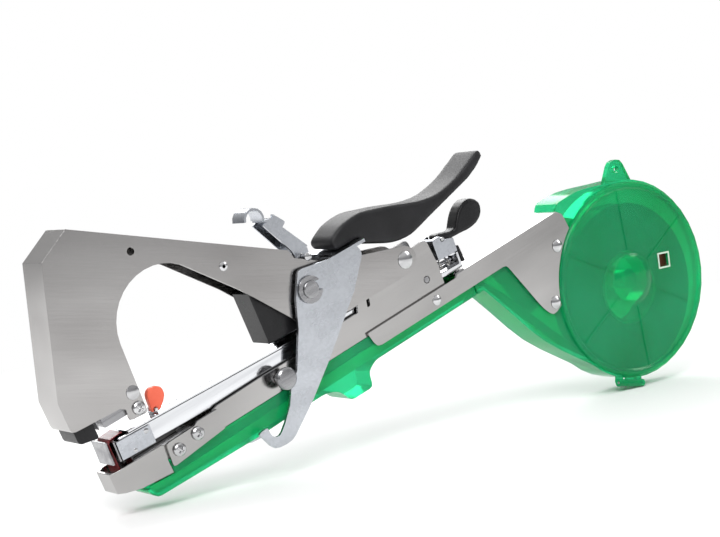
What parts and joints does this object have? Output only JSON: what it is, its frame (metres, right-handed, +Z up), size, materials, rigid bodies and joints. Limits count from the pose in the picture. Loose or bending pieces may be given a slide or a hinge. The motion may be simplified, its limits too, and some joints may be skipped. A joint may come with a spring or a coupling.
{
  "type": "plant tying tape tool",
  "caption": "Hand-held tying tool: a nose arm and squeeze handle close on a staple magazine; a round green reel case feeds tape to the mouth.",
  "frame": {"origin": "centre of the bounding box's bottom face; the tool stands on the green cover's front tip and the reel case's underside", "axes": "+Z up, +X towards the reel end, -X the nose; -Y is the side with the reel's lid"},
  "size_m": [0.367, 0.031, 0.1298],
  "materials": {
    "brushed_steel": "brushed along the sheet, bright edges",
    "plain_steel": "turned or ground, slightly dark",
    "spring_steel": "drawn wire, satin",
    "zinc_plate": "bright zinc, faint spangle",
    "zinc_fasteners": "zinc plated, polished crown",
    "magazine_chrome": "bright chrome with fine drawing lines",
    "staples": "row of glued wire staples",
    "green_case": "translucent moulded plastic",
    "green_lid": "translucent moulded plastic, fine turning marks",
    "black_grip": "fine-grained moulded grip",
    "black_plastic": "moulded plastic",
    "coral_plastic": "moulded plastic",
    "red_tape": "wound plastic film",
    "card": "spiral-wound card"
  },
  "bodies": {
    "frame": {"front_frame": "brushed_steel", "rear_frame": "brushed_steel", "front_cap": "brushed_steel", "driver_blade": "plain_steel", "tape_cover": "green_case", "cap_screw_near_front": "zinc_fasteners", "cap_screw_near_rear": "zinc_fasteners", "cap_screw_far_front": "zinc_fasteners", "cap_screw_far_rear": "zinc_fasteners", "cover_rivet_near": "zinc_fasteners", "cover_rivet_far": "zinc_fasteners", "cam_stud_near": "plain_steel", "cam_stud_far": "plain_steel", "magazine_pivot_near": "plain_steel", "magazine_pivot_far": "plain_steel", "main_pivot_pin": "zinc_fasteners", "return_spring": "spring_steel", "magazine_lift_spring": "spring_steel", "case_body": "green_case", "lid_hinge_pin": "zinc_fasteners", "tape_strip": "red_tape", "case_rivet_upper": "zinc_fasteners", "case_rivet_lower": "zinc_fasteners"},
    "arm": {"arm_shell": "brushed_steel", "clincher": "plain_steel", "cutter_blade": "plain_steel", "tape_catch": "zinc_plate", "nose_pad": "black_plastic", "press_block": "black_plastic", "nose_rivet": "zinc_fasteners", "arm_rivet": "zinc_fasteners", "nose_screw_near": "zinc_fasteners", "nose_screw_far": "zinc_fasteners", "handle_pivot_pin": "plain_steel", "latch_pin": "zinc_fasteners"},
    "handle": {"handle_frame": "zinc_plate", "handle_grip": "black_grip", "pivot_clip_near": "plain_steel", "pivot_clip_far": "plain_steel"},
    "thumb_latch": {"thumb_latch": "zinc_plate"},
    "magazine": {"magazine_channel": "magazine_chrome", "magazine_cover": "magazine_chrome", "magazine_clip": "zinc_plate", "tape_guide": "plain_steel", "staple_strip": "staples", "magazine_latch": "zinc_plate", "release_tab_pin": "zinc_fasteners", "release_knob_pin": "zinc_fasteners", "pusher_spring": "spring_steel"},
    "release_tab": {"release_tab": "coral_plastic"},
    "release_knob": {"release_knob": "black_plastic"},
    "pusher": {"pusher_follower": "zinc_fasteners", "pusher_rod": "plain_steel", "pusher_plate": "black_plastic"},
    "reel": {"tape_roll": "red_tape", "roll_core": "card"},
    "lid": {"case_lid": "green_lid"}
  },
  "joints": [
    {"name": "arm_open", "type": "hinge", "parent": "frame", "child": "arm", "pos_m": [-0.00694, 0, 0.08435], "axis": [0, 1, 0], "range_deg": [-1.7, 22]},
    {"name": "handle_swing", "type": "hinge", "parent": "arm", "child": "handle", "pos_m": [-0.06195, 0, 0.0791], "axis": [0, 1, 0], "range_deg": [-26.5, 2.1]},
    {"name": "thumb_latch_tilt", "type": "hinge", "parent": "arm", "child": "thumb_latch", "pos_m": [-0.05876, 0, 0.0931], "axis": [0, 1, 0], "range_deg": [0, 20]},
    {"name": "magazine_press", "type": "hinge", "parent": "frame", "child": "magazine", "pos_m": [0.00503, 0, 0.07354], "axis": [0, 1, 0], "range_deg": [-1.7, 0], "stiffness_Nm_per_rad": 4, "springref_deg": 3.44, "deforming": ["magazine_lift_spring"]},
    {"name": "pusher_slide", "type": "slide", "parent": "magazine", "child": "pusher", "axis": [0.9627, 0, 0.2706], "range_m": [0, 0.04], "stiffness_N_per_m": 60, "springref_m": -0.02, "deforming": ["pusher_spring"]},
    {"name": "release_knob_lift", "type": "hinge", "parent": "magazine", "child": "release_knob", "pos_m": [0.01835, 0, 0.09066], "axis": [0, 1, 0], "range_deg": [-12, 0]},
    {"name": "release_tab_tip", "type": "hinge", "parent": "magazine", "child": "release_tab", "pos_m": [-0.13876, 0, 0.0404], "axis": [0, 1, 0], "range_deg": [0, 30]},
    {"name": "reel_spin", "type": "hinge", "parent": "frame", "child": "reel", "pos_m": [0.13319, 0, 0.05075], "axis": [0, 1, 0], "continuous": true},
    {"name": "lid_open", "type": "hinge", "parent": "frame", "child": "lid", "pos_m": [0.12424, -0.0089, 0.00332], "axis": [0.9854, 0, -0.1702], "range_deg": [0, 100]}
  ],
  "couplings": [
    {"joint": "handle_swing", "follows": "arm_open", "ratio": -1.2}
  ]
}
